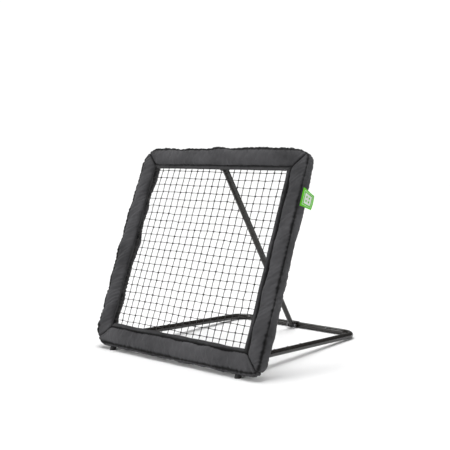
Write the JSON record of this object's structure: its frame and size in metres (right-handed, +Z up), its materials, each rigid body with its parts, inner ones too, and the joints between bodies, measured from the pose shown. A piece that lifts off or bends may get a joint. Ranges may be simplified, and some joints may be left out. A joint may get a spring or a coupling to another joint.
{
  "type": "pitch back rebounder",
  "caption": "Square padded net frame that leans back on a hinged U-shaped floor frame, held by a telescopic strut, to return a thrown or kicked ball.",
  "frame": {"origin": "centre of the footprint, on the ground, in the posture of use", "axes": "+X across, to the right as seen from the front (the padded face), +Y from the padded face to the rear crossbar, +Z up"},
  "size_m": [0.8418, 0.8455, 0.8072],
  "materials": {
    "frame_steel": "gloss black powder coat",
    "fastener_steel": "black zinc, worn at the edges",
    "cover_fabric": "charcoal woven polyester",
    "foam": "closed-cell foam",
    "net_twine": "black knotted polyester twine",
    "net_tape": "woven webbing",
    "label_fabric": "bright green woven tag",
    "foot_rubber": "matt moulded rubber",
    "black_plastic": "fine-grained moulding"
  },
  "bodies": {
    "floor_frame": {"arm_hole_plugs_left": "black_plastic", "arm_hole_plugs_right": "black_plastic", "base_arm_left": "frame_steel", "base_arm_right": "frame_steel", "base_crossbar": "frame_steel", "base_joint_screws": "fastener_steel", "base_sleeve_left": "frame_steel", "base_sleeve_right": "frame_steel", "clevis_bolt": "fastener_steel", "clevis_nut": "fastener_steel", "clevis_washers": "fastener_steel", "strut_clevis": "frame_steel"},
    "rebound_frame": {"cover_bottom": "cover_fabric", "cover_left": "cover_fabric", "cover_right": "cover_fabric", "cover_top": "cover_fabric", "foam_bottom": "foam", "foam_left": "foam", "foam_right": "foam", "foam_top": "foam", "foot_screws": "fastener_steel", "hem_bottom": "cover_fabric", "hem_left": "cover_fabric", "hem_right": "cover_fabric", "hem_top": "cover_fabric", "hinge_bolt_left": "fastener_steel", "hinge_bolt_right": "fastener_steel", "hinge_bracket_left": "frame_steel", "hinge_bracket_right": "frame_steel", "hinge_nut_left": "fastener_steel", "hinge_nut_right": "fastener_steel", "hinge_washers_left": "fastener_steel", "hinge_washers_right": "fastener_steel", "hoop_joint_screws": "fastener_steel", "hoop_lower_tube": "frame_steel", "hoop_sleeve_left": "frame_steel", "hoop_sleeve_right": "frame_steel", "hoop_upper_tube": "frame_steel", "label": "label_fabric", "lower_foot_left": "foot_rubber", "lower_foot_right": "foot_rubber", "net": "net_twine", "net_binding_tape": "net_tape", "strut_top_bolt": "fastener_steel", "strut_top_bracket": "frame_steel", "strut_top_nut": "fastener_steel", "strut_top_washers": "fastener_steel", "upper_foot_left": "foot_rubber", "upper_foot_right": "foot_rubber"},
    "strut_upper": {"strut_collar": "black_plastic", "strut_top_plug": "black_plastic", "strut_upper_tube": "frame_steel"},
    "strut_lower": {"strut_foot": "black_plastic", "strut_inner_plug": "black_plastic", "strut_lower_tube": "frame_steel", "strut_stop_pin": "fastener_steel"},
    "lock": {"lock_knob": "black_plastic", "lock_screw": "fastener_steel"}
  },
  "joints": [
    {"name": "frame_tilt", "type": "hinge", "parent": "floor_frame", "child": "rebound_frame", "pos_m": [0, -0.34953, 0.05221], "axis": [1, 0, 0], "range_deg": [-10, 10]},
    {"name": "strut_swing", "type": "hinge", "parent": "rebound_frame", "child": "strut_upper", "pos_m": [0, -0.09224, 0.72373], "axis": [1, 0, 0], "range_deg": [-5.2, 5.2]},
    {"name": "strut_slide", "type": "slide", "parent": "strut_upper", "child": "strut_lower", "axis": [0, 0.5523, -0.8336], "range_m": [-0.104, 0.104]},
    {"name": "lock_turn", "type": "hinge", "parent": "strut_upper", "child": "lock", "pos_m": [0, 0.28469, 0.20918], "axis": [0, 0.8336, 0.5523], "range_deg": [0, 360]}
  ],
  "couplings": [
    {"joint": "strut_swing", "follows": "frame_tilt", "ratio": -0.50943},
    {"joint": "strut_slide", "follows": "frame_tilt", "m_per_rad": 0.58465}
  ]
}
